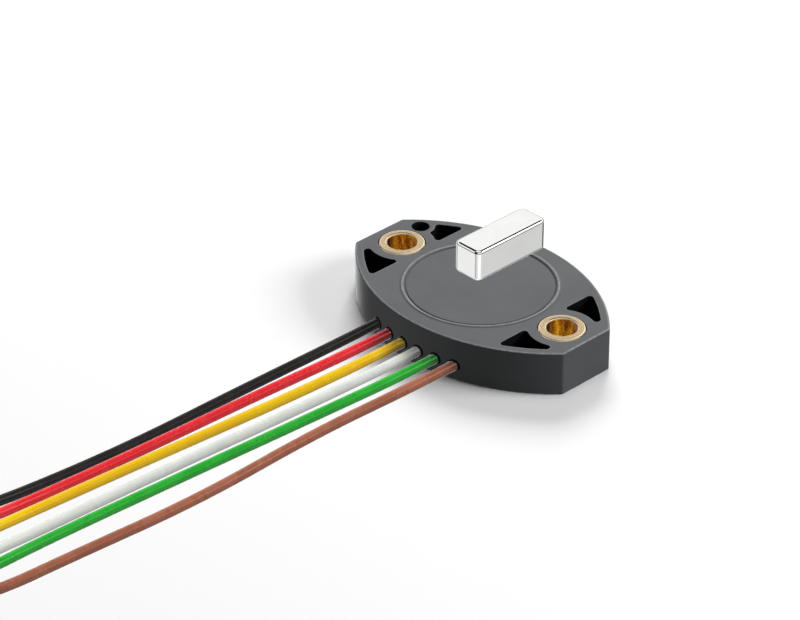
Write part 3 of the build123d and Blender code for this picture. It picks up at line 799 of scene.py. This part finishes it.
bored_brass = surfaced("bored_brass", drawn_streaks(), {"Width": 1100, "Lift": 0.5},
                       {"Metallic": 1.0})
# Painted highlight: a near-white cream for the rims of each bushing, bright under any lamp.
painted_edge_highlight = finish_of("bushing_rim_highlight", (250, 226, 184), (255, 246, 224), 1500, 6000, 0.2,
                        (0.35, 0.5), Metallic=0.1)
for side, x in (("left", -HOLE_X), ("right", HOLE_X)):
    drawn = bmesh.new()
    verts = [drawn.verts.new((x + radius, 0, height)) for radius, height in BUSHING_SECTION]
    edges = [drawn.edges.new(pair) for pair in zip(verts, verts[1:] + verts[:1])]
    bmesh.ops.spin(drawn, geom=verts + edges, cent=(x, 0, 0), axis=(0, 0, 1), angle=math.tau,
                   steps=BUSHING_STEPS, use_merge=True)
    brass = turned_metal(f"{side}_turned_brass", (x, 0), (194, 165, 124), (226, 200, 160), 8200,
                         0.3, (0.16, 0.3))
    # Faces of the bore take the bored brass; the outer rounding and the inner chamfer above the
    # face take the painted highlight.
    for face in drawn.faces:
        middle = face.calc_center_median()
        out = (middle.xy - Vector((x, 0))).length
        if out < BUSHING_BORE + 0.003:
            face.material_index = 1
        elif middle.z > BUSHING_RIM and not BUSHING_FACE[0] < out < BUSHING_FACE[1]:
            face.material_index = 2
    finished(f"{side}_brass_bushing", drawn, [brass, bored_brass, painted_edge_highlight],
             "sensor", [f"{side}_bushing"])


# Lead seals: a bead of black sealant fills each hole in the wall round its lead and stands
# out as a low collar, which follows the curve of the wall.
SEAL_SECTION = [(0.74, -2.2), (0.94, -2.2), (0.94, -0.05), (1.0, 0.0), (0.99, 0.04),
                (0.96, 0.08), (0.92, 0.11), (0.86, 0.13), (0.8, 0.14), (0.74, 0.14)]
SEAL_STEPS = 48
sealant = finish_of("black_sealant", (5, 5, 5), (11, 11, 11), 700, 4000, 0.1, (0.22, 0.34),
                    Specular_IOR_Level=0.03)


def wall_y(x, inset=0.0):
    """How far the front wall stands out at x, or a face that far inside it."""
    return math.sqrt((SIDE_RADIUS - inset) ** 2 - x**2) - SIDE_CENTRE


for colour, x in LEAD_COLUMNS.items():
    drawn = bmesh.new()
    thickness = wall_y(x) - wall_y(x, WALL)
    section = [(radius, out if out > -1 else -thickness) for radius, out in SEAL_SECTION]
    verts = [drawn.verts.new((x + radius, -wall_y(x) - out, LEAD_HEIGHT))
             for radius, out in section]
    edges = [drawn.edges.new(pair) for pair in zip(verts, verts[1:] + verts[:1])]
    bmesh.ops.spin(drawn, geom=verts + edges, cent=(x, 0, LEAD_HEIGHT), axis=(0, 1, 0),
                   angle=math.tau, steps=SEAL_STEPS, use_merge=True)
    for vert in drawn.verts:
        vert.co.y += wall_y(x) - wall_y(vert.co.x)
    finished(f"{colour}_sealant", drawn, [sealant], "sensor", [f"{colour}_seal"])


# Circuit board and what is soldered to it: a green glass-fibre board with a black moulded
# sensor chip at the ring's centre, ceramic capacitors, two resistors and the six conductors.
def dressed(material, *nodes):
    """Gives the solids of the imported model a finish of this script."""
    for node in nodes:
        for slot in frame["nodes"][node].material_slots:
            slot.material = material


dressed(finish_of("board_laminate", (14, 66, 40), (24, 88, 54), 400, 2400, 0.2, (0.28, 0.42)),
        "circuit_board")
dressed(finish_of("chip_moulding", (22, 22, 24), (36, 36, 38), 500, 9000, 0.3, (0.45, 0.6)),
        "sensor_chip")
dressed(finish_of("tinned_metal", (186, 186, 184), (222, 222, 220), 900, 6000, 0.15, (0.2, 0.4),
                  Metallic=1.0), "chip_leads", "component_terminals")
dressed(finish_of("fired_ceramic", (168, 138, 106), (190, 160, 126), 800, 6000, 0.2, (0.3, 0.5)),
        "supply_capacitors", "output_capacitors")
dressed(finish_of("resistor_glaze", (18, 18, 20), (30, 30, 32), 800, 5000, 0.1, (0.2, 0.35)),
        "series_resistors")
dressed(finish_of("bright_solder", (190, 190, 190), (226, 226, 224), 700, 3000, 0.1, (0.12, 0.3),
                  Metallic=1.0), "solder_joints")
dressed(tinned_strands, *[f"{colour}_conductor" for colour in LEAD_COLUMNS])


# Potting: black casting resin poured in from below over the board's solder side. It has
# levelled itself just short of the foot and crept up the cavity's wall as it set.
POTTING_TOP = 3.4
POTTING_SURFACE = [(0.0, 0.06), (0.1, 0.1), (0.25, 0.145), (0.5, 0.18), (0.9, 0.2)]
drawn = bmesh.new()
resin = [outline(drawn, cavity_plan, POTTING_TOP)]
resin += [outline(drawn, lens_arcs(WALL + inset, CAVITY_HALF_LENGTH - inset,
                                   CAVITY_CORNER - inset), height)
          for inset, height in POTTING_SURFACE]
bridged(drawn, resin)
bmesh.ops.triangle_fill(drawn, edges=resin[0], use_beauty=True)
bmesh.ops.triangle_fill(drawn, edges=resin[-1], use_beauty=True)
casting_resin = finish_of("casting_resin", (16, 16, 17), (27, 27, 28), 180, 900, 0.25,
                          (0.12, 0.28), Specular_IOR_Level=0.5)
finished("cast_resin", drawn, [casting_resin], "sensor", ["potting_compound"])


# Coil ties: two nylon ties hold the wound leads, one at the back and one at the front, each
# drawn tight through its head and cut off flush.
dressed(finish_of("tie_nylon", (214, 212, 200), (232, 230, 220), 300, 3000, 0.15, (0.34, 0.46)),
        "rear_coil_tie", "front_coil_tie")


# Position marker: a sintered bar magnet, ground to size and barrelled so that its edges are
# rounded, then plated with bright nickel. It travels over the ring, clear of the housing, and
# casts no shadow in the photograph.
MAGNET_LOW = Vector((-2.5, -3.0, 9.35))
MAGNET_SIZE = Vector((5.0, 13.8, 4.8))
MAGNET_CORNER = 1.0
MAGNET_EDGE = 0.5
drawn = bmesh.new()
block = bmesh.ops.create_cube(drawn, size=1)["verts"]
bmesh.ops.scale(drawn, vec=MAGNET_SIZE, verts=block)
bmesh.ops.translate(drawn, vec=MAGNET_LOW + MAGNET_SIZE / 2, verts=block)
corner_edges = [edge for edge in drawn.edges
                if abs(edge.verts[0].co.z - edge.verts[1].co.z) > MAGNET_SIZE.z / 2]
bmesh.ops.bevel(drawn, geom=corner_edges, offset=MAGNET_CORNER, offset_type="OFFSET",
                segments=12, profile=0.5, affect="EDGES", material=-1)
rim_edges = [edge for edge in drawn.edges
             if abs(edge.verts[0].co.z - edge.verts[1].co.z) < 0.0001]
bmesh.ops.bevel(drawn, geom=rim_edges, offset=MAGNET_EDGE, offset_type="OFFSET", segments=8,
                profile=0.5, affect="EDGES", material=-1)
nickel = finish_of("bright_nickel", (240, 240, 239), (250, 250, 249), 220, 5200, 0.01,
                   (0.03, 0.05), Metallic=1.0)
marker = finished("nickel_marker", drawn, [nickel], "marker",
                  ["position_magnet"])
marker.visible_shadow = False
marker.visible_diffuse = False


# Each lead leaves the wall at its collar and ends in its tinned tip. Each lead's tip, and
# for the brown lead, the lowest one of the coil, also the ties, are gathered here, but
# nothing further is done with them.
for colour, lead in leads.items():
    tied = [tips[colour]]
    if colour == "brown":
        tied += [frame["nodes"]["rear_coil_tie"], frame["nodes"]["front_coil_tie"]]
    x = LEAD_COLUMNS[colour]


# Floor and light: a white bench in a white tent. Two broad lamps stand behind, to the left
# and to the right, and a third one hangs overhead. Gloss and metal mirror only the tent, with
# its dark and bright cards, because glossy rays pass by the pieces, the bench and the lamps.
FLOOR_REACH = 3.0
FLOOR_SEEN = 0.98
FLOOR_BOUNCE = 0.17
FLOOR_FADE = (0.18, 0.5)


def lit_floor():
    """White for the camera, greyer as a source of bounced light, clear from below, so that
    the underside can be looked at, and fading into the white tent away from the object."""
    material = bpy.data.materials.new("bench")
    material.use_nodes = True
    tree = material.node_tree
    node, wire = tree.nodes.new, tree.links.new
    shader = tree.nodes["Principled BSDF"]
    shader.inputs["Roughness"].default_value = 0.5
    shader.inputs["Specular IOR Level"].default_value = 0.0
    seen = node("ShaderNodeLightPath")
    colour = node("ShaderNodeMix")
    colour.data_type = "RGBA"
    colour.inputs["A"].default_value = (FLOOR_BOUNCE, FLOOR_BOUNCE, FLOOR_BOUNCE, 1)
    colour.inputs["B"].default_value = (FLOOR_SEEN, FLOOR_SEEN, FLOOR_SEEN, 1)
    wire(seen.outputs["Is Camera Ray"], colour.inputs["Factor"])
    wire(colour.outputs["Result"], shader.inputs["Base Color"])
    place = node("ShaderNodeTexCoord")
    out = node("ShaderNodeVectorMath")
    out.operation = "LENGTH"
    wire(place.outputs["Object"], out.inputs[0])
    fading = node("ShaderNodeMapRange")
    fading.inputs["From Min"].default_value = FLOOR_FADE[0]
    fading.inputs["From Max"].default_value = FLOOR_FADE[1]
    wire(out.outputs["Value"], fading.inputs["Value"])
    facing = node("ShaderNodeNewGeometry")
    either = node("ShaderNodeMath")
    either.operation = "MAXIMUM"
    wire(facing.outputs["Backfacing"], either.inputs[0])
    wire(fading.outputs["Result"], either.inputs[1])
    clear = node("ShaderNodeBsdfTransparent")
    mixed = node("ShaderNodeMixShader")
    wire(either.outputs["Value"], mixed.inputs["Fac"])
    wire(shader.outputs["BSDF"], mixed.inputs[1])
    wire(clear.outputs["BSDF"], mixed.inputs[2])
    wire(mixed.outputs["Shader"], tree.nodes["Material Output"].inputs["Surface"])
    return material


drawn = bmesh.new()
bmesh.ops.create_grid(drawn, x_segments=1, y_segments=1, size=FLOOR_REACH)
mesh = bpy.data.meshes.new("bench")
drawn.to_mesh(mesh)
drawn.free()
mesh.materials.append(lit_floor())
floor = bpy.data.objects.new("bench", mesh)
bpy.context.scene.collection.objects.link(floor)
for piece in bpy.data.objects:
    if piece.type in ("MESH", "CURVE"):
        piece.visible_glossy = False

world = bpy.data.worlds.new("tent")
bpy.context.scene.world = world
world.use_nodes = True
tree = world.node_tree
node, wire = tree.nodes.new, tree.links.new
tree.nodes.clear()
# Levels of the tent: in bands over the height, in cards over the turn below CARD_TOP, and in
# round soft boxes, each with its direction, outer and inner cosine and level.
BANDS = [(0.0, 0.8), (0.42, 0.8), (0.45, 0.02), (0.585, 0.02), (0.61, 1.0), (0.79, 1.0),
         (0.805, 1.6), (0.82, 1.6), (0.83, 0.01), (0.94, 0.01), (0.955, 1.0)]
CARDS = [(0.0, 0.2), (0.04, 0.4), (0.1, 0.93), (0.2, 0.93), (0.235, 0.45), (0.27, 0.45),
         (0.3, 0.85), (0.36, 0.85), (0.39, 1.2), (0.46, 1.2), (0.5, 0.74), (0.635, 0.68),
         (0.655, 0.1), (0.76, 0.1), (0.79, 0.9), (0.83, 1.2), (0.86, 2.0), (0.925, 2.6),
         (0.955, 0.6), (0.98, 0.2)]
CARD_TOP = (-0.28, -0.36)
SOFT_BOXES = [((0.02, -0.96, 0.28), 0.85, 0.9, 0.01), ((0.5, 0.59, 0.63), 0.984, 0.99, 4.0)]
AMBIENT = 0.07
LAMPS = [("left_lamp", (-0.5, 0.5, 0.5), 0.4, 6.4), ("right_lamp", (0.6, 0.46, 0.46), 0.4, 5.3),
         ("overhead_lamp", (0.0, 0.06, 1.0), 0.5, 2.3)]


def graded(steps, share):
    """Greys in steps along a share from 0 to 1."""
    ramp = node("ShaderNodeValToRGB")
    wire(share, ramp.inputs["Fac"])
    stops = ramp.color_ramp.elements
    stops[0].position, stops[1].position = steps[0][0], steps[-1][0]
    stops[0].color, stops[1].color = (*[steps[0][1]] * 3, 1), (*[steps[-1][1]] * 3, 1)
    for position, level in steps[1:-1]:
        stops.new(position).color = (level, level, level, 1)
    return ramp.outputs["Color"]


towards = node("ShaderNodeTexCoord")
apart = node("ShaderNodeSeparateXYZ")
wire(towards.outputs["Generated"], apart.inputs["Vector"])
height = node("ShaderNodeMapRange")
height.inputs["From Min"].default_value = -1
height.inputs["From Max"].default_value = 1
wire(apart.outputs["Z"], height.inputs["Value"])
turn = node("ShaderNodeTexGradient")
turn.gradient_type = "RADIAL"
wire(towards.outputs["Generated"], turn.inputs["Vector"])
below = node("ShaderNodeMapRange")
below.inputs["From Min"].default_value = CARD_TOP[0]
below.inputs["From Max"].default_value = CARD_TOP[1]
wire(apart.outputs["Z"], below.inputs["Value"])
tent = node("ShaderNodeMix")
tent.data_type = "RGBA"
wire(below.outputs["Result"], tent.inputs["Factor"])
wire(graded(BANDS, height.outputs["Result"]), tent.inputs["A"])
wire(graded(CARDS, turn.outputs["Fac"]), tent.inputs["B"])
hung_round = tent.outputs["Result"]
for direction, outer, inner, level in SOFT_BOXES:
    off = node("ShaderNodeVectorMath")
    off.operation = "DOT_PRODUCT"
    off.inputs[1].default_value = Vector(direction).normalized()
    wire(towards.outputs["Generated"], off.inputs[0])
    edge = node("ShaderNodeMapRange")
    edge.inputs["From Min"].default_value = outer
    edge.inputs["From Max"].default_value = inner
    wire(off.outputs["Value"], edge.inputs["Value"])
    box = node("ShaderNodeMix")
    box.data_type = "RGBA"
    box.inputs["B"].default_value = (level, level, level, 1)
    wire(edge.outputs["Result"], box.inputs["Factor"])
    wire(hung_round, box.inputs["A"])
    hung_round = box.outputs["Result"]
seen = node("ShaderNodeLightPath")
around = node("ShaderNodeMix")
around.data_type = "RGBA"
around.inputs["A"].default_value = (AMBIENT, AMBIENT, AMBIENT, 1)
wire(seen.outputs["Is Glossy Ray"], around.inputs["Factor"])
wire(hung_round, around.inputs["B"])
white = node("ShaderNodeMix")
white.data_type = "RGBA"
white.inputs["B"].default_value = (1, 1, 1, 1)
wire(seen.outputs["Is Camera Ray"], white.inputs["Factor"])
wire(around.outputs["Result"], white.inputs["A"])
sky = node("ShaderNodeBackground")
wire(white.outputs["Result"], sky.inputs["Color"])
end = node("ShaderNodeOutputWorld")
wire(sky.outputs["Background"], end.inputs["Surface"])

for name, place, size, power in LAMPS:
    lamp = bpy.data.lights.new(name, "AREA")
    lamp.size = size
    lamp.energy = power
    hung = bpy.data.objects.new(name, lamp)
    hung.location = place
    hung.rotation_euler = Vector(place).to_track_quat("Z", "Y").to_euler()
    hung.visible_glossy = False
    bpy.context.scene.collection.objects.link(hung)
